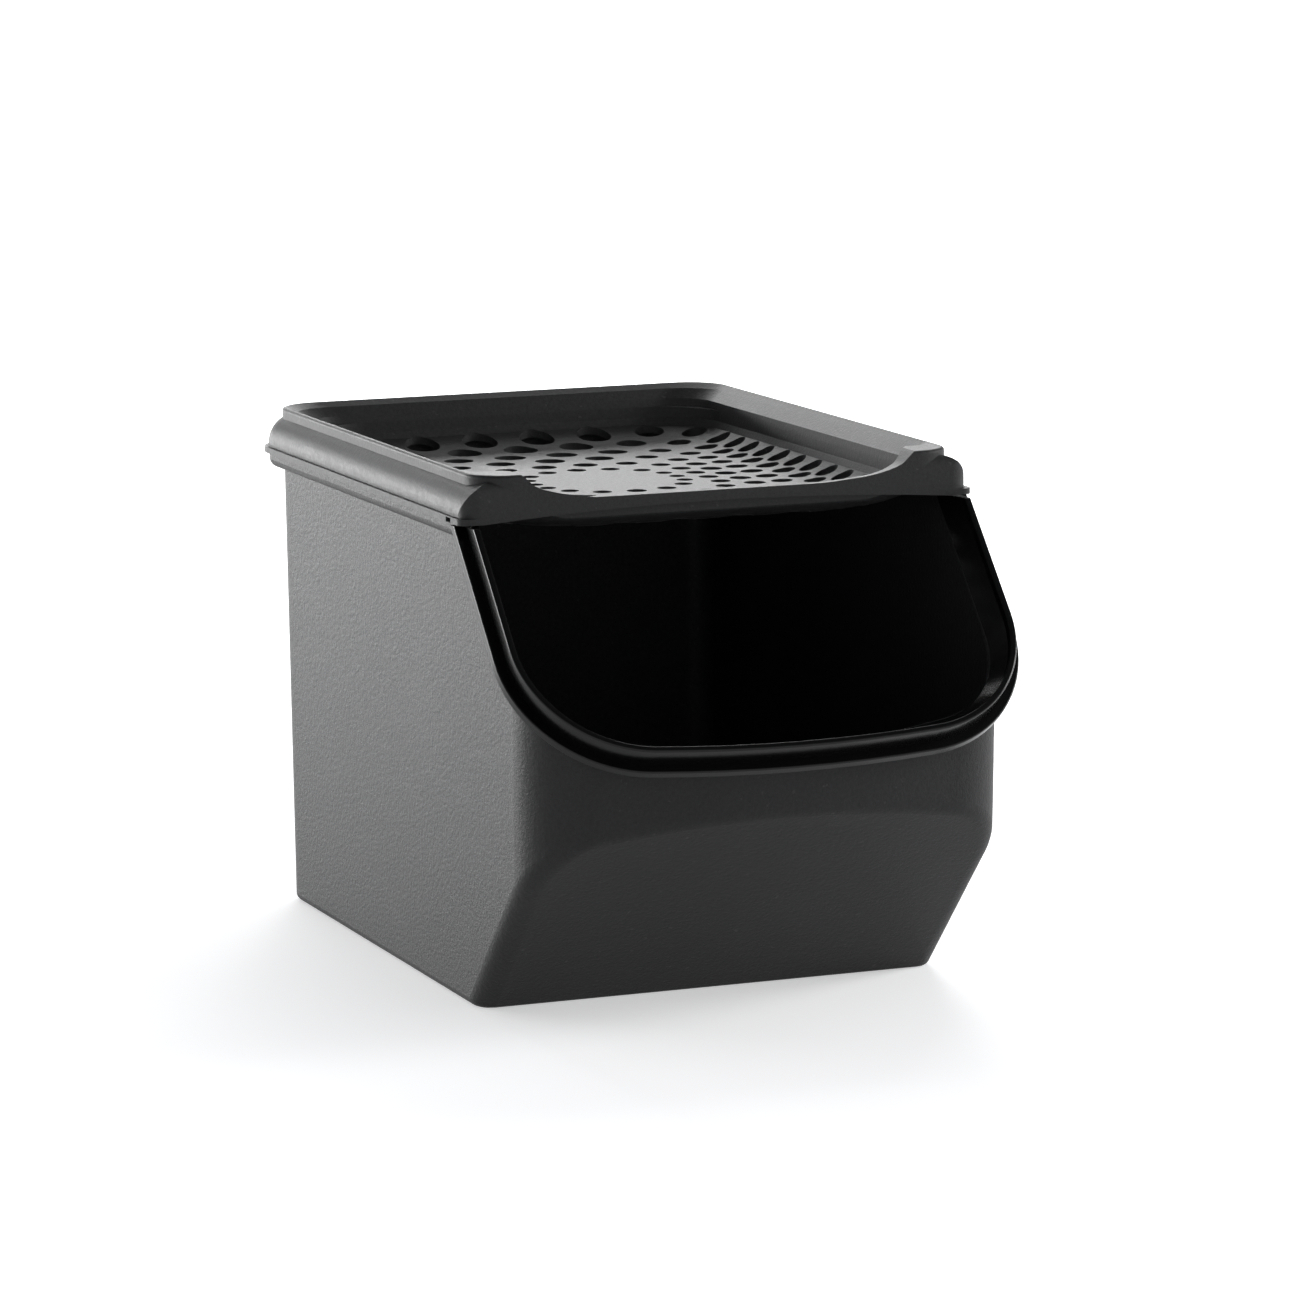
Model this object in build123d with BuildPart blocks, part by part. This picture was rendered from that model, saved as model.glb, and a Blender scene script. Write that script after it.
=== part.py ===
from build123d import *
import os
from math import cos, hypot, pi, radians, sin, sqrt

# A kitchen keeper for onions: an open-fronted bin and a perforated lid that presses over
# its top rim. The origin is the middle of the box round the closed keeper, on the table.
# The opening faces -Y, +Z is up. All sizes are millimetres.

# Bin walls: sizes at the floor, and what the mould draft adds per millimetre of height
base_half_width = 73.4
side_draft = 0.007
base_back = 117.2
back_draft = 0.010
front_centre = -116.7
front_draft = 0.025
front_bow_radius = 350.0
front_corner_radius = 22.0
back_corner_radius = 10.0
wall = 2.2
floor_thickness = 2.4
floor_edge_radius = 2.5
wall_top = 146.5

# The lower front slopes back to a shorter base, so that keepers can stand in a row
slope_foot = -57.6
slope_angle = 43.7
slope_edge_radius = 6.0

# Loose floor grid, which stands on pegs and keeps the onions off the damp
grid_clearance = 1.2
grid_bottom = 8.0
grid_thickness = 2.4
grid_slot_length = 36.0
grid_slot_width = 7.0
grid_slot_pitch = (10.5, 42.0)
grid_slot_count = (12, 4)
grid_peg_gap = 0.3
grid_peg_width = 5.0
grid_peg_corner = 1.0
grid_peg_pitch = (42.0, 42.0)
grid_peg_count = (4, 3)

# Mouth of the opening: a flange and a collar that stands on it follow one leaning plane.
# Heights are from the origin, square to that plane; the foot is how far down the slope it starts
mouth_lean = 42.84
flange_under = 142.0
flange_top = 144.5
wall_end = 143.0
collar_top = 151.1
collar_half_width = 77.8
collar_foot = -24.9
collar_bow_radius = 473.0
collar_corner_radius = 37.9
collar_thickness = 2.0
collar_edge_radius = 0.6
flange_reach = 2.8
flange_edge_radius = 0.5
mouth_head = 70.0

# The collar's inside flares out of the bin's hollow
flare_start = 141.0
flare_end = 148.5
flare_half_width = 71.7
flare_foot = -18.5
flare_bow_radius = 240.0
flare_corner_radius = 26.0

# Band round the top rim, just below the lid
rim_reach = 4.6
rim_bottom = 139.3
rim_top = 143.5
rim_edge_radius = 2.5

# Lid skirt, with a hem along its lower edge and a round shoulder above
lid_half_width = 80.5
lid_bottom = 144.0
lid_front = -68.7
lid_back = 124.7
lid_back_corner = 16.0
hem_height = 1.8
hem_reach = 1.2
hem_front_corner = 3.0
skirt_front_corner = 5.3
lid_wall = 1.8
shoulder_top = 156.0
shoulder_radius = 9.5
front_shoulder_radius = 3.0

# Ridge round three sides of the lid
ridge_half_width = 75.0
ridge_back = 120.8
ridge_back_corner = 13.5
ridge_front_corner = 11.0
ridge_foot = 150.0
ridge_top = 157.8
ridge_edge_radius = 1.0

# Basin inside the ridge, from its floor up: height, half width, front, back and corner radius
basin_steps = (
    (141.4, 44.0, -46.0, 89.0, 26.0),
    (141.6, 50.0, -51.5, 95.0, 25.5),
    (142.0, 56.0, -56.5, 100.4, 25.0),
    (142.8, 60.0, -60.0, 105.0, 24.0),
    (144.0, 63.4, -62.8, 109.6, 23.0),
    (145.5, 66.0, -65.0, 113.4, 22.0),
    (147.6, 67.0, -66.2, 114.8, 21.0),
    (150.9, 67.2, -66.5, 115.2, 21.0),
)

# Step over the basin's edge and the slope from it up to the ridge: height, half width and back
ledge_steps = (
    (150.9, 67.2, 115.2),
    (153.4, 67.4, 115.8),
    (156.3, 71.6, 117.0),
    (158.0, 74.2, 119.8),
)
ledge_front = -57.0
ledge_front_corner = 8.0
ledge_back_corner = 14.0
shell_drop = 1.9
shell_reach = 1.2
shell_front = -68.0

# Front of the lid: its upper edge sweeps from the middle up to the ridge
sweep_points = (
    (31.3, 150.1),
    (38.9, 150.6),
    (45.8, 151.2),
    (50.9, 152.1),
    (55.2, 153.3),
    (57.8, 154.5),
    (59.5, 156.0),
    (61.7, 157.8),
    (63.8, 158.4),
)
sweep_depth = 14.0
front_wall = 2.2
front_wall_end = 73.0
front_wall_arch = 3.0

# Ribs under the lid that rest on the bin's rim
rest_rib_width = 1.6
rest_rib_gap = 0.3
side_rib_places = (-40.0, 0.0, 40.0, 80.0)
back_rib_places = (-40.0, 0.0, 40.0)
back_rib_length = 12.0

# Latch notches: one in each side of the hem, near its front
notch_length = 4.0
notch_height = 1.5
notch_from_front = 10.0

# Vent holes: rings of holes round a plain disc, each ring wider and squarer than the last.
# For each ring: half width, length to the back and to the front, number of holes, where the
# first hole stands as a share of a pitch from the middle of the back, and corner crowding
vent_centre = 22.6
vent_rings = (
    (23.2, 25.1, 25.1, 16, 0.0, 0.0),
    (31.5, 35.5, 35.5, 20, 0.5, 0.035),
    (39.4, 48.3, 48.3, 24, 0.0, 0.055),
    (48.0, 60.8, 60.8, 30, 0.5, 0.07),
    (56.0, 74.5, 73.0, 34, 0.0, 0.073),
    (62.4, 85.5, 80.0, 38, 0.5, 0.073),
)
first_ring_squareness = 2.3
squareness_per_ring = 1.45
end_crowding = 0.04
vent_per_pitch = 0.585
vent_edge_margin = 1.2

# How far cutting bodies reach past what they cut
overrun = 4.0


def mouth_plane(height):
    """Plane parallel to the mouth of the opening, at that height from the origin."""
    lean = radians(mouth_lean)
    outward = Vector(0, -cos(lean), sin(lean))
    return Plane(origin=outward * height, x_dir=(1, 0, 0), z_dir=outward)


def mouth_outline(half_width, foot, bow, corner, head=mouth_head):
    """Outline round the mouth: a bowed foot, round corners and straight sides up the slope."""
    side = foot + bow - sqrt(bow**2 - half_width**2)
    with BuildSketch(Plane.XY) as outline:
        with BuildLine():
            ThreePointArc((-half_width, side), (0, foot), (half_width, side))
            Polyline((half_width, side), (half_width, head), (-half_width, head), (-half_width, side))
        make_face()
        fillet(outline.vertices().group_by(Axis.Y)[0], radius=corner)
    return outline.sketch


def collar_outline(grow=0.0, head=mouth_head):
    """Outline of the collar, grown outwards."""
    corner = collar_corner_radius + grow
    return mouth_outline(collar_half_width + grow, collar_foot - grow, collar_bow_radius, corner, head)


def slope_plane(inset=0.0):
    """The plane of the sloping lower front, or one inside it by the inset."""
    lean = radians(slope_angle)
    outward = Vector(0, -cos(lean), -sin(lean))
    foot = Vector(0, slope_foot, 0)
    return Plane(origin=foot - outward * inset, x_dir=(1, 0, 0), z_dir=outward)


def wall_plan(height, grow=0.0):
    """Plan of the bin's walls at a height, grown outwards."""
    half_width = base_half_width + side_draft * height + grow
    back = base_back + back_draft * height + grow
    front = front_centre - front_draft * height - grow
    bow = front_bow_radius + grow
    front_corner = front + bow - sqrt(bow**2 - half_width**2)
    with BuildSketch(Plane.XY) as plan:
        with BuildLine():
            ThreePointArc((-half_width, front_corner), (0, front), (half_width, front_corner))
            Polyline(
                (half_width, front_corner),
                (half_width, back),
                (-half_width, back),
                (-half_width, front_corner),
            )
        make_face()
        fillet(plan.vertices().group_by(Axis.Y)[0], radius=front_corner_radius + grow)
        fillet(plan.vertices().group_by(Axis.Y)[-1], radius=back_corner_radius + grow)
    return plan.sketch


def lid_plan(half_width, front, back, front_corner, back_corner):
    """Rounded rectangle in the lid's plan; a corner radius of nought leaves its corners sharp."""
    with BuildSketch(Plane.XY) as plan:
        with Locations((0, (front + back) / 2)):
            Rectangle(2 * half_width, back - front)
        if back_corner > 0:
            fillet(plan.vertices().group_by(Axis.Y)[-1], radius=back_corner)
        if front_corner > 0:
            fillet(plan.vertices().group_by(Axis.Y)[0], radius=front_corner)
    return plan.sketch


def front_profile(inset):
    """Side view of the lid with its small front shoulder, inside the surface by the inset."""
    front = lid_front + inset
    top = shoulder_top - inset
    with BuildSketch(Plane.XY) as profile:
        with BuildLine():
            Polyline(
                (front, lid_bottom - overrun),
                (front, top),
                (lid_back + overrun, top),
                (lid_back + overrun, lid_bottom - overrun),
                close=True,
            )
        make_face()
        front_top = profile.vertices().sort_by(Axis.Y)[-2:].sort_by(Axis.X)[0]
        fillet(front_top, radius=front_shoulder_radius - min(inset, lid_wall))
    return profile.sketch


def sweep_profile():
    """Outline of what the sweeping front edge leaves open, for a sketch on a front plane."""
    right = list(sweep_points)
    left = [(-x, z) for x, z in reversed(right)]
    top = ridge_top + overrun
    with BuildSketch(Plane.XY) as profile:
        with BuildLine():
            Line(left[-1], right[0])
            Spline(*right, tangents=[(1, 0), (1, 0.1)])
            Polyline(right[-1], (right[-1][0], top), (left[0][0], top), left[0])
            Spline(*left, tangents=[(1, -0.1), (1, 0)])
        make_face()
    return profile.sketch


def ring_point(ring, turn):
    """Point of a ring of vents, turned from the back: a circle that grows squarer outwards."""
    half_x, to_back, to_front = vent_rings[ring][:3]
    half_y = to_back if cos(turn) > 0 else to_front
    power = first_ring_squareness + squareness_per_ring * ring
    reach = ((abs(sin(turn)) / half_x) ** power + (abs(cos(turn)) / half_y) ** power) ** (-1 / power)
    return reach * sin(turn), vent_centre + reach * cos(turn)


def ring_vents(ring):
    """Centre and width of each vent of a ring; they crowd towards its corners."""
    count, phase, corner_crowding = vent_rings[ring][3:]
    points = []
    for index in range(count):
        turn = 2 * pi * (index + phase) / count
        spread = end_crowding * sin(2 * turn) + corner_crowding * sin(4 * turn)
        points.append(ring_point(ring, turn + spread))
    vents = []
    for index, (x, y) in enumerate(points):
        before = points[index - 1]
        after = points[(index + 1) % count]
        pitch = hypot(after[0] - before[0], after[1] - before[1]) / 2
        to_side = basin_steps[-1][1] - abs(x) - vent_edge_margin
        vents.append((x, y, min(vent_per_pitch * pitch / 2, to_side)))
    return vents


# Bin: the outside of the walls, with the lower front sloped and its edges rounded
with BuildPart() as bin_outside:
    with BuildSketch(Plane.XY):
        add(wall_plan(0))
    with BuildSketch(Plane.XY.offset(wall_top)):
        add(wall_plan(wall_top))
    loft(ruled=True)
    split(bisect_by=slope_plane(), keep=Keep.BOTTOM)
    slope_face = faces().sort_by(Axis(slope_plane().origin, slope_plane().z_dir))[-1]
    slope_edges = slope_face.edges().filter_by(lambda edge: edge.center().Z > 1)
    fillet(slope_edges, radius=slope_edge_radius)
    fillet(faces().sort_by(Axis.Z)[0].edges(), radius=floor_edge_radius)
    split(bisect_by=mouth_plane(wall_end), keep=Keep.BOTTOM)

# Bin: the hollow, one wall thickness inside
with BuildPart() as bin_hollow:
    with BuildSketch(Plane.XY.offset(floor_thickness)):
        add(wall_plan(floor_thickness, -wall))
    with BuildSketch(Plane.XY.offset(wall_top + overrun)):
        add(wall_plan(wall_top + overrun, -wall))
    loft(ruled=True)
    split(bisect_by=slope_plane(wall), keep=Keep.BOTTOM)
    fillet(faces().sort_by(Axis.Z)[0].edges(), radius=floor_edge_radius)

# Bin: the flare from the hollow to the collar's inside
with BuildPart() as flare:
    with BuildSketch(mouth_plane(flare_start)):
        add(
            mouth_outline(
                flare_half_width,
                flare_foot,
                flare_bow_radius,
                flare_corner_radius,
                mouth_head + overrun,
            )
        )
    with BuildSketch(mouth_plane(flare_end)):
        add(collar_outline(-collar_thickness, mouth_head + overrun))
    loft(ruled=True)

# Bin: flange round the mouth
with BuildPart() as mouth_flange:
    with BuildSketch(mouth_plane(flange_under)):
        add(collar_outline(flange_reach))
    extrude(amount=flange_top - flange_under)
    upper_face = faces().sort_by(Axis((0, 0, 0), mouth_plane(0).z_dir))[-1]
    fillet(upper_face.edges(), radius=flange_edge_radius)
    split(bisect_by=Plane.XY.offset(rim_top), keep=Keep.BOTTOM)

# Bin: collar that stands on the flange
with BuildPart() as mouth_collar:
    with BuildSketch(mouth_plane(flange_under)):
        add(collar_outline())
    extrude(amount=collar_top - flange_under)
    with BuildSketch(mouth_plane(flare_end)):
        add(collar_outline(-collar_thickness, mouth_head + overrun))
    extrude(amount=collar_top - flare_end, mode=Mode.SUBTRACT)
    crest = faces().sort_by(Axis((0, 0, 0), mouth_plane(0).z_dir))[-1]
    fillet(crest.edges().filter_by(lambda edge: edge.length > 2 * collar_thickness), radius=collar_edge_radius)
    split(bisect_by=Plane.XY.offset(rim_top), keep=Keep.BOTTOM)

# Bin: band round the top rim, below the lid
with BuildPart() as top_rim:
    with BuildSketch(Plane.XY.offset(rim_bottom)):
        add(wall_plan(rim_bottom, rim_reach))
    with BuildSketch(Plane.XY.offset(rim_top)):
        add(wall_plan(rim_top, rim_reach))
    loft(ruled=True)
    fillet(faces().sort_by(Axis.Z)[0].edges(), radius=rim_edge_radius)
    split(bisect_by=mouth_plane(wall_end), keep=Keep.BOTTOM)

with BuildPart() as bin_body:
    add(bin_outside.part)
    add(mouth_flange.part)
    add(mouth_collar.part)
    add(top_rim.part)
    add(bin_hollow.part, mode=Mode.SUBTRACT)
    add(flare.part, mode=Mode.SUBTRACT)

# Loose floor grid: a slotted plate on pegs
with BuildPart() as floor_grid:
    with BuildSketch(Plane.XY.offset(grid_bottom)):
        add(wall_plan(grid_bottom, -wall - grid_clearance))
    extrude(amount=grid_thickness)
    split(bisect_by=slope_plane(wall + grid_clearance), keep=Keep.BOTTOM)
    grid_front = faces().sort_by(Axis.Y)[0].center().Y
    grid_middle = (grid_front + base_back - wall - grid_clearance) / 2
    with BuildSketch(Plane.XY.offset(grid_bottom)):
        with Locations((0, grid_middle)):
            with GridLocations(*grid_slot_pitch, *grid_slot_count):
                SlotOverall(grid_slot_length, grid_slot_width, rotation=90)
    extrude(amount=grid_thickness, mode=Mode.SUBTRACT)
    with BuildSketch(Plane.XY.offset(floor_thickness + grid_peg_gap)):
        with Locations((0, grid_middle)):
            with GridLocations(*grid_peg_pitch, *grid_peg_count):
                RectangleRounded(grid_peg_width, grid_peg_width, grid_peg_corner)
    extrude(amount=grid_bottom + grid_thickness / 2 - floor_thickness - grid_peg_gap)

# Lid: the space in and over its basin
with BuildPart() as basin:
    for height, half_width, front, back, corner in basin_steps:
        with BuildSketch(Plane.XY.offset(height)):
            add(lid_plan(half_width, front, back, corner, corner))
    loft(ruled=True)
    with BuildSketch(Plane.XY.offset(basin_steps[-1][0])):
        height, half_width, front, back, corner = basin_steps[-1]
        add(lid_plan(half_width, front, back, corner, corner))
    extrude(amount=ridge_top + overrun - basin_steps[-1][0])

with BuildPart() as ledge:
    for lower, upper in zip(ledge_steps[:-1], ledge_steps[1:]):
        for height, half_width, back in (lower, upper):
            with BuildSketch(Plane.XY.offset(height)):
                add(lid_plan(half_width, ledge_front, back, ledge_front_corner, ledge_back_corner))
        loft(ruled=True)

# Lid: what the basin and the ledge are cut from
with BuildPart() as basin_shell:
    for height, half_width, front, back, corner in basin_steps:
        with BuildSketch(Plane.XY.offset(height - shell_drop)):
            shell_start = max(front - shell_reach, shell_front)
            shell_back = back + shell_reach
            add(lid_plan(half_width + shell_reach, shell_start, shell_back, corner, corner))
    loft(ruled=True)

with BuildPart() as ledge_shell:
    for lower, upper in zip(ledge_steps[:-2], ledge_steps[1:-1]):
        for height, half_width, back in (lower, upper):
            with BuildSketch(Plane.XY.offset(height - shell_drop)):
                shell_back = back + shell_reach
                add(lid_plan(half_width + shell_reach, shell_front, shell_back, 0, ledge_back_corner))
        loft(ruled=True)

# Lid: hollow inside its skirt, which takes the bin's rim
inset = hem_reach + lid_wall
with BuildPart() as lid_hollow:
    with BuildSketch(Plane.XY.offset(lid_bottom - overrun)):
        hollow_back_corner = lid_back_corner - inset
        add(lid_plan(lid_half_width - inset, lid_front - shoulder_radius, lid_back - inset, 0, hollow_back_corner))
    extrude(amount=shoulder_top - lid_wall - lid_bottom + overrun)
    roof_edges = faces().sort_by(Axis.Z)[-1].edges().sort_by(Axis.Y)[1:]
    fillet(roof_edges, radius=shoulder_radius - lid_wall)
    with BuildSketch(Plane.YZ):
        add(front_profile(front_wall))
    extrude(amount=lid_half_width, both=True, mode=Mode.INTERSECT)
    with BuildSketch(Plane.XY.offset(lid_bottom - overrun)):
        hollow_corner = skirt_front_corner - front_wall
        add(lid_plan(lid_half_width - inset, lid_front + front_wall, lid_back, hollow_corner, 0))
    extrude(amount=shoulder_top - lid_bottom + overrun, mode=Mode.INTERSECT)

# Lid: ribs that rest on the bin's rim
with BuildPart() as rest_ribs:
    with BuildSketch(Plane.XY.offset(wall_top + rest_rib_gap)):
        for place in side_rib_places:
            with Locations((0, place)):
                Rectangle(2 * lid_half_width, rest_rib_width)
        for place in back_rib_places:
            with Locations((place, lid_back - back_rib_length / 2)):
                Rectangle(rest_rib_width, back_rib_length)
    extrude(amount=shoulder_top - wall_top - rest_rib_gap)
    add(lid_hollow.part, mode=Mode.INTERSECT)

# Lid: ridge
with BuildPart() as ridge:
    with BuildSketch(Plane.XY.offset(ridge_foot)):
        add(lid_plan(ridge_half_width, lid_front, ridge_back, ridge_front_corner, ridge_back_corner))
    extrude(amount=ridge_top - ridge_foot)
    fillet(faces().sort_by(Axis.Z)[-1].edges(), radius=ridge_edge_radius)

with BuildPart() as lid:
    with BuildSketch(Plane.XY.offset(lid_bottom)):
        skirt_half_width = lid_half_width - hem_reach
        skirt_back = lid_back - hem_reach
        skirt_corner = lid_back_corner - hem_reach
        add(lid_plan(skirt_half_width, lid_front - shoulder_radius, skirt_back, 0, skirt_corner))
    extrude(amount=shoulder_top - lid_bottom)
    fillet(faces().sort_by(Axis.Z)[-1].edges().sort_by(Axis.Y)[1:], radius=shoulder_radius)
    with BuildSketch(Plane.YZ):
        add(front_profile(0))
    extrude(amount=lid_half_width, both=True, mode=Mode.INTERSECT)
    with BuildSketch(Plane.XY.offset(lid_bottom)):
        add(lid_plan(skirt_half_width, lid_front, lid_back, skirt_front_corner, 0))
    extrude(amount=shoulder_top - lid_bottom, mode=Mode.INTERSECT)
    with BuildSketch(Plane.XY.offset(lid_bottom)):
        add(lid_plan(lid_half_width, lid_front, lid_back, hem_front_corner, lid_back_corner))
    extrude(amount=hem_height)
    add(ridge.part)
    add(lid_hollow.part, mode=Mode.SUBTRACT)
    add(basin_shell.part)
    add(ledge_shell.part)
    add(rest_ribs.part)
    add(basin.part, mode=Mode.SUBTRACT)
    add(ledge.part, mode=Mode.SUBTRACT)
    with BuildSketch(Plane.XZ.offset(-lid_front + overrun)):
        add(sweep_profile())
    extrude(amount=-sweep_depth - overrun, mode=Mode.SUBTRACT)
    # The front wall ends in a shallow arch
    with BuildSketch(Plane.XZ.offset(-lid_front)):
        with BuildLine():
            ThreePointArc(
                (-front_wall_end, lid_bottom),
                (0, lid_bottom + front_wall_arch),
                (front_wall_end, lid_bottom),
            )
            Line((front_wall_end, lid_bottom), (-front_wall_end, lid_bottom))
        make_face()
    extrude(amount=-front_wall, mode=Mode.SUBTRACT)
    with Locations((0, lid_front + notch_from_front, lid_bottom + notch_height / 2)):
        with GridLocations(2 * lid_half_width, 0, 2, 1):
            Box(2 * hem_reach, notch_length, notch_height, mode=Mode.SUBTRACT)
    # Vents through the basin
    with BuildSketch(Plane.XY.offset(basin_steps[-1][0])):
        for ring in range(len(vent_rings)):
            for x, y, radius in ring_vents(ring):
                with Locations((x, y)):
                    Circle(radius)
    extrude(amount=basin_steps[0][0] - basin_steps[-1][0] - overrun, mode=Mode.SUBTRACT)

bin_body.part.label = "bin"
floor_grid.part.label = "floor_grid"
lid.part.label = "lid"

os.makedirs("parts", exist_ok=True)
export_step(bin_body.part, "parts/bin.step")
export_step(floor_grid.part, "parts/floor_grid.step")
export_step(lid.part, "parts/lid.step")
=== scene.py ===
import bpy
from math import cos, radians, sin
from mathutils import Matrix, Vector

# An onion keeper in charcoal plastic: an open-fronted bin with a glossy rim, a loose floor
# grid and a perforated lid. Metres, in the frame of the solids: the mouth faces -Y.

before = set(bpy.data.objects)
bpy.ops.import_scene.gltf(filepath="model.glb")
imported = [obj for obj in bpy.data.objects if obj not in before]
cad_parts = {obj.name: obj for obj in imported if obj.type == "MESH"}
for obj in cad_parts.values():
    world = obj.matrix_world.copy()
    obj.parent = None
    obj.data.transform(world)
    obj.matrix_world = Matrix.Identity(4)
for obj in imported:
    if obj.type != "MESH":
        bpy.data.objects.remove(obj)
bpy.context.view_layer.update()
scene = bpy.context.scene

MM = 0.001

# Camera, found from the keeper's own edges in the 1290 x 1305 photograph
IMAGE_WIDTH = 1290
IMAGE_HEIGHT = 1305
FOCAL_PIXELS = 5613.7
PRINCIPAL_POINT = (633.887, 651.951)
CAMERA_PLACE = Vector((-0.6166, -1.5572, 0.3733))
CAMERA_RIGHT = Vector((0.92933119, -0.3691644, -0.00782249))
CAMERA_UP = Vector((0.06836067, 0.15119455, 0.98613743))
SENSOR = 36.0
FAR_CLIP = 100.0

# Colours, as linear values
BIN_CHARCOAL = (0.012, 0.012, 0.0125)
BIN_CHARCOAL_LIGHT = (0.024, 0.024, 0.025)
LID_CHARCOAL = (0.018, 0.018, 0.0185)
LID_CHARCOAL_LIGHT = (0.029, 0.029, 0.030)
# The rim is the wall's own plastic; its darker colour is painted shade for the dark look of its polish
RIM_BLACK_PAINTED_SHADE = (0.0025, 0.0025, 0.0027)
DUST_GREY = (0.20, 0.19, 0.18)
FLOOR_WHITE = (0.86, 0.865, 0.875)
BACKDROP_WHITE = (0.97, 0.98, 1.0)
LAMP_WHITE = (1.0, 1.0, 1.0)

# Gloss of the plastic
PLASTIC_SPECULAR = 0.22
PLASTIC_IOR = 1.5
BIN_ROUGHNESS = 0.50
GRID_ROUGHNESS = 0.48
LID_ROUGHNESS = 0.50
RIM_ROUGHNESS = 0.20
PIT_ROUGHENING = 0.07
SCUFF_POLISHING = -0.06
SCUFF_DULLING = 0.05

# Shade of the plastic: shares of its faint clouds and its pits, and of the dust on it
CLOUD_SHARE = 0.35
PIT_SHARE = 0.65
DUST_SHARE = 0.10

# Grain: noise cells per metre, depth of its relief, and strength of that relief
BIN_GRAIN = 2100.0
GRID_GRAIN = 1400.0
LID_GRAIN = 2200.0
BIN_GRAIN_DEPTH = 0.26 * MM
GRID_GRAIN_DEPTH = 0.10 * MM
LID_GRAIN_DEPTH = 0.16 * MM
BIN_GRAIN_STRENGTH = 0.9
LOOSE_PART_GRAIN_STRENGTH = 0.8

# Clouds and handling marks, in noise cells per metre
BIN_CLOUDS = 16.0
BIN_MARKS = 34.0
LOOSE_PART_CLOUDS = 18.0
LOOSE_PART_MARKS = 38.0

# The flange round the mouth leans back from the vertical; its underside is this far out, and
# the wall's finish turns into the rim's polish and painted shade over this width
MOUTH_LEAN = radians(42.84)
FLANGE_UNDERSIDE = 142.0 * MM
FINISH_CHANGE = 0.2 * MM

# Studio: half the floor's width, and the level of its glow near the keeper and away from it
FLOOR_HALF = 12.0
GLOW_START = 0.2
GLOW_END = 0.7
GLOW_NEAR = 0.48
GLOW_FAR = 0.95

# The backdrop turns into a dark ceiling between these heights of the view direction
CEILING_START = 0.2
CEILING_END = 0.55
CEILING_LEVEL = 0.14
SOFT_LIGHT_LEVEL = 0.3
LAMP_TARGET = (0.0, 0.0, 0.09)


def new_group(name, inputs, outputs):
    """An empty shader node group with named sockets, and its input and output nodes."""
    group = bpy.data.node_groups.new(name, "ShaderNodeTree")
    for socket_name, socket_type, value in inputs:
        socket = group.interface.new_socket(socket_name, in_out="INPUT", socket_type=socket_type)
        if value is not None:
            socket.default_value = value
    for socket_name, socket_type in outputs:
        group.interface.new_socket(socket_name, in_out="OUTPUT", socket_type=socket_type)
    return group, group.nodes.new("NodeGroupInput"), group.nodes.new("NodeGroupOutput")


def math_node(tree, operation, first, second=None, third=None, clamp=False):
    """A Math node on links or plain numbers; returns its result."""
    node = tree.nodes.new("ShaderNodeMath")
    node.operation = operation
    node.use_clamp = clamp
    for socket, value in zip(node.inputs, (first, second, third)):
        if value is None:
            continue
        if isinstance(value, (int, float)):
            socket.default_value = value
        else:
            tree.links.new(value, socket)
    return node.outputs[0]


def noise_node(tree, vector, scale, detail, roughness):
    """A Noise node at a linked scale; returns its value from 0 to 1."""
    node = tree.nodes.new("ShaderNodeTexNoise")
    tree.links.new(vector, node.inputs["Vector"])
    tree.links.new(scale, node.inputs["Scale"])
    node.inputs["Detail"].default_value = detail
    node.inputs["Roughness"].default_value = roughness
    return node.outputs["Fac"]


def range_node(tree, value, low, high, out_low=0.0, out_high=1.0, smooth=True):
    """A Map Range node; returns its result."""
    node = tree.nodes.new("ShaderNodeMapRange")
    node.interpolation_type = "SMOOTHSTEP" if smooth else "LINEAR"
    tree.links.new(value, node.inputs["Value"])
    numbers = {"From Min": low, "From Max": high, "To Min": out_low, "To Max": out_high}
    for name, number in numbers.items():
        node.inputs[name].default_value = number
    return node.outputs["Result"]


def mix_colour(tree, factor, first, second):
    """A colour Mix node on links or plain colours; returns its colour."""
    node = tree.nodes.new("ShaderNodeMix")
    node.data_type = "RGBA"
    colour_sockets = [socket for socket in node.inputs if socket.type == "RGBA"]
    tree.links.new(factor, node.inputs[0])
    for socket, value in zip(colour_sockets, (first, second)):
        if isinstance(value, tuple):
            socket.default_value = (*value, 1.0)
        else:
            tree.links.new(value, socket)
    return [socket for socket in node.outputs if socket.type == "RGBA"][0]


def make_spark_grain():
    """Spark-eroded grain of moulded plastic: fine pits, with faint clouds in its shade."""
    group, inside, outside = new_group(
        "spark_grain",
        (
            ("Place", "NodeSocketVector", None),
            ("Grain Scale", "NodeSocketFloat", 1500.0),
            ("Cloud Scale", "NodeSocketFloat", 22.0),
        ),
        (
            ("Height", "NodeSocketFloat"),
            ("Pits", "NodeSocketFloat"),
            ("Clouds", "NodeSocketFloat"),
        ),
    )
    coarse_to_fine = 0.37
    coarse_height = 0.6
    fine_height = 0.5
    place = inside.outputs["Place"]
    fine = noise_node(group, place, inside.outputs["Grain Scale"], 2.0, 0.6)
    coarse_scale = math_node(group, "MULTIPLY", inside.outputs["Grain Scale"], coarse_to_fine)
    coarse = noise_node(group, place, coarse_scale, 2.0, 0.55)
    fine = math_node(group, "MULTIPLY", fine, fine_height)
    height = math_node(group, "MULTIPLY_ADD", coarse, coarse_height, fine)
    clouds = noise_node(group, place, inside.outputs["Cloud Scale"], 3.0, 0.5)
    group.links.new(height, outside.inputs["Height"])
    group.links.new(range_node(group, height, 0.42, 0.68), outside.inputs["Pits"])
    group.links.new(range_node(group, clouds, 0.3, 0.7), outside.inputs["Clouds"])
    return group


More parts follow.
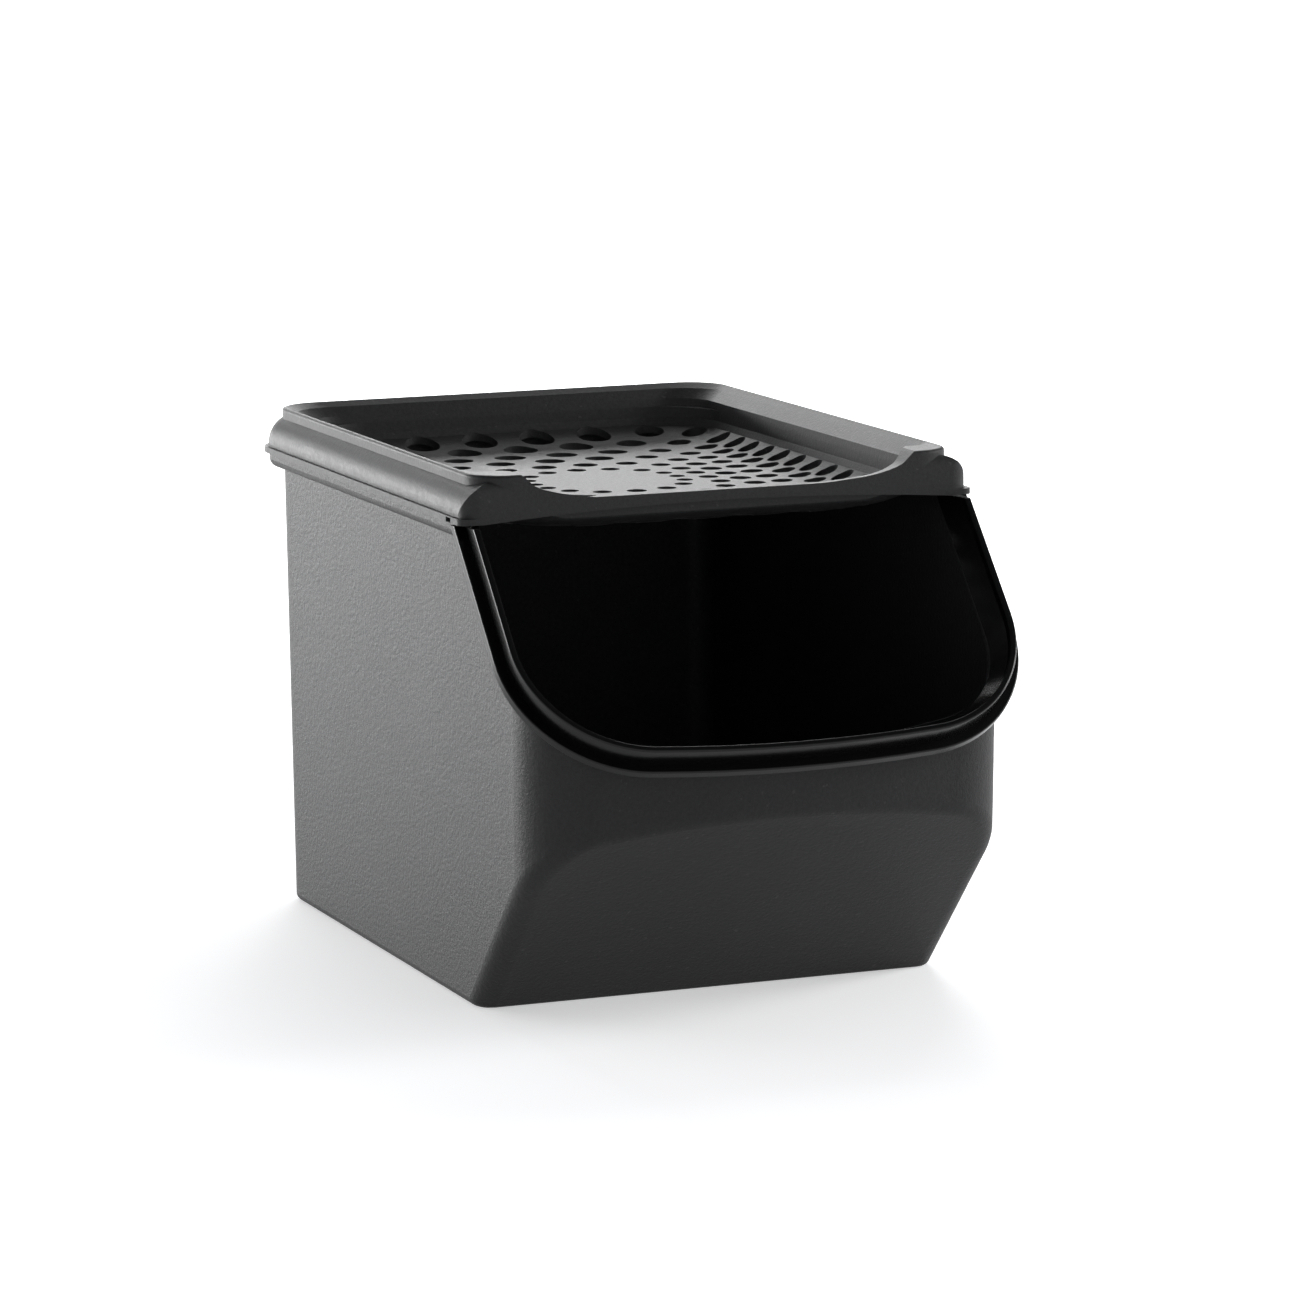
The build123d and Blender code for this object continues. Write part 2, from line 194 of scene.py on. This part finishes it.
def make_handling_marks():
    """Faint rubbed and dusty marks that a kitchen keeper has from use."""
    group, inside, outside = new_group(
        "handling_marks",
        (
            ("Place", "NodeSocketVector", None),
            ("Mark Scale", "NodeSocketFloat", 55.0),
        ),
        (("Scuffs", "NodeSocketFloat"), ("Dust", "NodeSocketFloat")),
    )
    streak_stretch = (1.0, 0.35, 2.4)
    streak_turn = (0.2, 0.5, 0.35)
    dust_to_mark = 16.0
    place = inside.outputs["Place"]
    stretch = group.nodes.new("ShaderNodeMapping")
    stretch.inputs["Scale"].default_value = streak_stretch
    stretch.inputs["Rotation"].default_value = streak_turn
    group.links.new(place, stretch.inputs["Vector"])
    streaks = noise_node(group, stretch.outputs["Vector"], inside.outputs["Mark Scale"], 5.0, 0.7)
    group.links.new(range_node(group, streaks, 0.60, 0.74), outside.inputs["Scuffs"])
    dust_scale = math_node(group, "MULTIPLY", inside.outputs["Mark Scale"], dust_to_mark)
    specks = noise_node(group, place, dust_scale, 1.0, 0.5)
    group.links.new(range_node(group, specks, 0.72, 0.78), outside.inputs["Dust"])
    return group


SPARK_GRAIN = make_spark_grain()
HANDLING_MARKS = make_handling_marks()


def place_group(tree, group, place, **values):
    """Put a group into a material, fed with the place on the piece and its own values."""
    node = tree.nodes.new("ShaderNodeGroup")
    node.node_tree = group
    tree.links.new(place, node.inputs["Place"])
    for name, value in values.items():
        node.inputs[name.replace("_", " ")].default_value = value
    return node


def start_plastic(name):
    """A plastic material with its shader, and the piece's own coordinates."""
    material = bpy.data.materials.new(name)
    material.use_nodes = True
    tree = material.node_tree
    shader = tree.nodes["Principled BSDF"]
    shader.inputs["Specular IOR Level"].default_value = PLASTIC_SPECULAR
    shader.inputs["IOR"].default_value = PLASTIC_IOR
    place = tree.nodes.new("ShaderNodeTexCoord").outputs["Object"]
    return material, tree, shader, place


def add_charcoal(tree, place, dark, light, roughness, grain_scale, cloud_scale, mark_scale):
    """Grained charcoal with marks of use; returns its colour, roughness, relief and scuffs."""
    grain = place_group(tree, SPARK_GRAIN, place, Grain_Scale=grain_scale, Cloud_Scale=cloud_scale)
    marks = place_group(tree, HANDLING_MARKS, place, Mark_Scale=mark_scale)
    pits = grain.outputs["Pits"]
    scuffs = marks.outputs["Scuffs"]
    shade = math_node(tree, "MULTIPLY", pits, PIT_SHARE)
    shade = math_node(tree, "MULTIPLY_ADD", grain.outputs["Clouds"], CLOUD_SHARE, shade)
    colour = mix_colour(tree, shade, dark, light)
    dusty = math_node(tree, "MULTIPLY", marks.outputs["Dust"], DUST_SHARE)
    colour = mix_colour(tree, dusty, colour, DUST_GREY)
    rough = math_node(tree, "MULTIPLY_ADD", pits, PIT_ROUGHENING, roughness)
    rough = math_node(tree, "MULTIPLY_ADD", scuffs, SCUFF_POLISHING, rough)
    return colour, rough, grain.outputs["Height"], scuffs


def add_bump(tree, shader, height, depth, strength):
    """Feed a height from 0 to 1, worth a depth in metres, to the shader's normal."""
    bump = tree.nodes.new("ShaderNodeBump")
    bump.inputs["Distance"].default_value = depth
    bump.inputs["Strength"].default_value = strength
    tree.links.new(height, bump.inputs["Height"])
    tree.links.new(bump.outputs["Normal"], shader.inputs["Normal"])


def loose_part_plastic(name, dark, light, roughness, grain_scale, depth):
    """Charcoal moulded plastic with a fine matte grain, for the lid and the floor grid."""
    material, tree, shader, place = start_plastic(name)
    colour, rough, height, _ = add_charcoal(
        tree, place, dark, light, roughness, grain_scale, LOOSE_PART_CLOUDS, LOOSE_PART_MARKS
    )
    tree.links.new(colour, shader.inputs["Base Color"])
    tree.links.new(rough, shader.inputs["Roughness"])
    add_bump(tree, shader, height, depth, LOOSE_PART_GRAIN_STRENGTH)
    return material


def bin_plastic():
    """The bin's plastic: matte grain on the walls, and a polish on the rim of the mouth, with a colour
    darker than the wall's that is painted shade for the dark look of that polish.
    """
    material, tree, shader, place = start_plastic("bin_charcoal_with_polished_rim_and_painted_shade")
    colour, rough, height, scuffs = add_charcoal(
        tree, place, BIN_CHARCOAL, BIN_CHARCOAL_LIGHT, BIN_ROUGHNESS, BIN_GRAIN, BIN_CLOUDS, BIN_MARKS
    )
    outward = tree.nodes.new("ShaderNodeVectorMath")
    outward.operation = "DOT_PRODUCT"
    tree.links.new(place, outward.inputs[0])
    outward.inputs[1].default_value = (0.0, -cos(MOUTH_LEAN), sin(MOUTH_LEAN))
    rim_start = FLANGE_UNDERSIDE - FINISH_CHANGE
    rim = range_node(tree, outward.outputs["Value"], rim_start, FLANGE_UNDERSIDE, smooth=False)
    wall = math_node(tree, "SUBTRACT", 1.0, rim)
    # Painted shade: the rim takes a darker colour than the wall's plastic, for the dark look of its
    # polish
    colour = mix_colour(tree, rim, colour, RIM_BLACK_PAINTED_SHADE)
    tree.links.new(colour, shader.inputs["Base Color"])
    polished = math_node(tree, "MULTIPLY_ADD", scuffs, SCUFF_DULLING, RIM_ROUGHNESS)
    polished = math_node(tree, "MULTIPLY", polished, rim)
    rough = math_node(tree, "MULTIPLY", rough, wall)
    rough = math_node(tree, "ADD", rough, polished)
    tree.links.new(rough, shader.inputs["Roughness"])
    height = math_node(tree, "MULTIPLY", height, wall)
    add_bump(tree, shader, height, BIN_GRAIN_DEPTH, BIN_GRAIN_STRENGTH)
    return material


def dress(node, material):
    """Give a piece of the frame its finish."""
    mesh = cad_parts[node].data
    mesh.materials.clear()
    mesh.materials.append(material)


def seen_by_eye(tree):
    """1 for rays from the eye, a mirror or glass, and 0 for those that light other things."""
    path = tree.nodes.new("ShaderNodeLightPath")
    seen = math_node(tree, "ADD", path.outputs["Is Camera Ray"], path.outputs["Is Glossy Ray"])
    return math_node(tree, "ADD", seen, path.outputs["Is Transmission Ray"], clamp=True)


def make_floor():
    """A wide pale floor that keeps the keeper's shadow."""
    half = FLOOR_HALF
    mesh = bpy.data.meshes.new("studio_floor")
    corners = [(-half, -half, 0), (half, -half, 0), (half, half, 0), (-half, half, 0)]
    mesh.from_pydata(corners, [], [(0, 1, 2, 3)])
    floor = bpy.data.objects.new("studio_floor", mesh)
    scene.collection.objects.link(floor)
    material = bpy.data.materials.new("studio_paper")
    material.use_nodes = True
    tree = material.node_tree
    shader = tree.nodes["Principled BSDF"]
    shader.inputs["Base Color"].default_value = (*FLOOR_WHITE, 1.0)
    shader.inputs["Roughness"].default_value = 0.9
    shader.inputs["Specular IOR Level"].default_value = 0.0
    shader.inputs["Emission Color"].default_value = (*LAMP_WHITE, 1.0)
    # The glow grows away from the keeper, so that its shadow stays soft grey on a white floor
    distance = tree.nodes.new("ShaderNodeVectorMath")
    distance.operation = "LENGTH"
    tree.links.new(tree.nodes.new("ShaderNodeTexCoord").outputs["Object"], distance.inputs[0])
    level = range_node(tree, distance.outputs["Value"], GLOW_START, GLOW_END, GLOW_NEAR, GLOW_FAR)
    glow = math_node(tree, "MULTIPLY", seen_by_eye(tree), level)
    tree.links.new(glow, shader.inputs["Emission Strength"])
    mesh.materials.append(material)


def make_world():
    """White backdrop to the eye and in gloss, under a dark ceiling, and a soft light on the keeper."""
    world = bpy.data.worlds.new("studio")
    scene.world = world
    world.use_nodes = True
    tree = world.node_tree
    background = tree.nodes["Background"]
    background.inputs["Color"].default_value = (*BACKDROP_WHITE, 1.0)
    rise = tree.nodes.new("ShaderNodeSeparateXYZ")
    tree.links.new(tree.nodes.new("ShaderNodeTexCoord").outputs["Generated"], rise.inputs[0])
    backdrop = range_node(tree, rise.outputs["Z"], CEILING_START, CEILING_END, 1.0, CEILING_LEVEL)
    seen = seen_by_eye(tree)
    unseen = math_node(tree, "SUBTRACT", 1.0, seen)
    soft = math_node(tree, "MULTIPLY", unseen, SOFT_LIGHT_LEVEL)
    strength = math_node(tree, "MULTIPLY_ADD", seen, backdrop, soft)
    tree.links.new(strength, background.inputs["Strength"])


def softbox(name, place, size, power):
    """A rectangular studio light at a place, turned to the keeper; metres and watts."""
    data = bpy.data.lights.new(name, "AREA")
    data.shape = "RECTANGLE"
    data.size, data.size_y = size
    data.energy = power
    data.color = LAMP_WHITE
    light = bpy.data.objects.new(name, data)
    light.location = place
    aim = Vector(LAMP_TARGET) - Vector(place)
    light.rotation_euler = aim.to_track_quat("-Z", "Y").to_euler()
    light.visible_camera = False
    scene.collection.objects.link(light)


def make_lights():
    """Key and top light from behind on the right, a broad one along the left wall, weak fills."""
    softbox("key_back", (0.5, 2.4, 1.15), (1.6, 0.9), 40.0)
    softbox("left_back", (-1.4, 2.3, 0.25), (1.8, 0.45), 60.0)
    softbox("top_back", (0.9, 1.4, 1.8), (0.9, 0.9), 12.0)
    softbox("right_side", (1.3, -0.3, 0.6), (0.4, 0.5), 10.0)
    softbox("front_fill", (0.9, -1.6, 1.2), (1.2, 1.2), 2.0)


def make_camera():
    """The photograph's camera."""
    data = bpy.data.cameras.new("camera")
    data.sensor_fit = "AUTO"
    data.sensor_width = SENSOR
    longest = max(IMAGE_WIDTH, IMAGE_HEIGHT)
    data.lens = FOCAL_PIXELS / longest * SENSOR
    data.shift_x = (IMAGE_WIDTH / 2 - PRINCIPAL_POINT[0]) / longest
    data.shift_y = (PRINCIPAL_POINT[1] - IMAGE_HEIGHT / 2) / longest
    data.clip_end = FAR_CLIP
    camera = bpy.data.objects.new("camera", data)
    back = CAMERA_RIGHT.cross(CAMERA_UP)
    turn = Matrix((CAMERA_RIGHT, CAMERA_UP, back)).transposed()
    camera.matrix_world = Matrix.Translation(CAMERA_PLACE) @ turn.to_4x4()
    scene.collection.objects.link(camera)
    scene.camera = camera


make_camera()
make_world()
make_floor()
make_lights()

grid_plastic = loose_part_plastic(
    "grid_charcoal", BIN_CHARCOAL, BIN_CHARCOAL_LIGHT, GRID_ROUGHNESS, GRID_GRAIN, GRID_GRAIN_DEPTH
)
lid_plastic = loose_part_plastic(
    "lid_charcoal", LID_CHARCOAL, LID_CHARCOAL_LIGHT, LID_ROUGHNESS, LID_GRAIN, LID_GRAIN_DEPTH
)
dress("bin", bin_plastic())
dress("floor_grid", grid_plastic)
dress("lid", lid_plastic)

scene.view_settings.view_transform = "Standard"
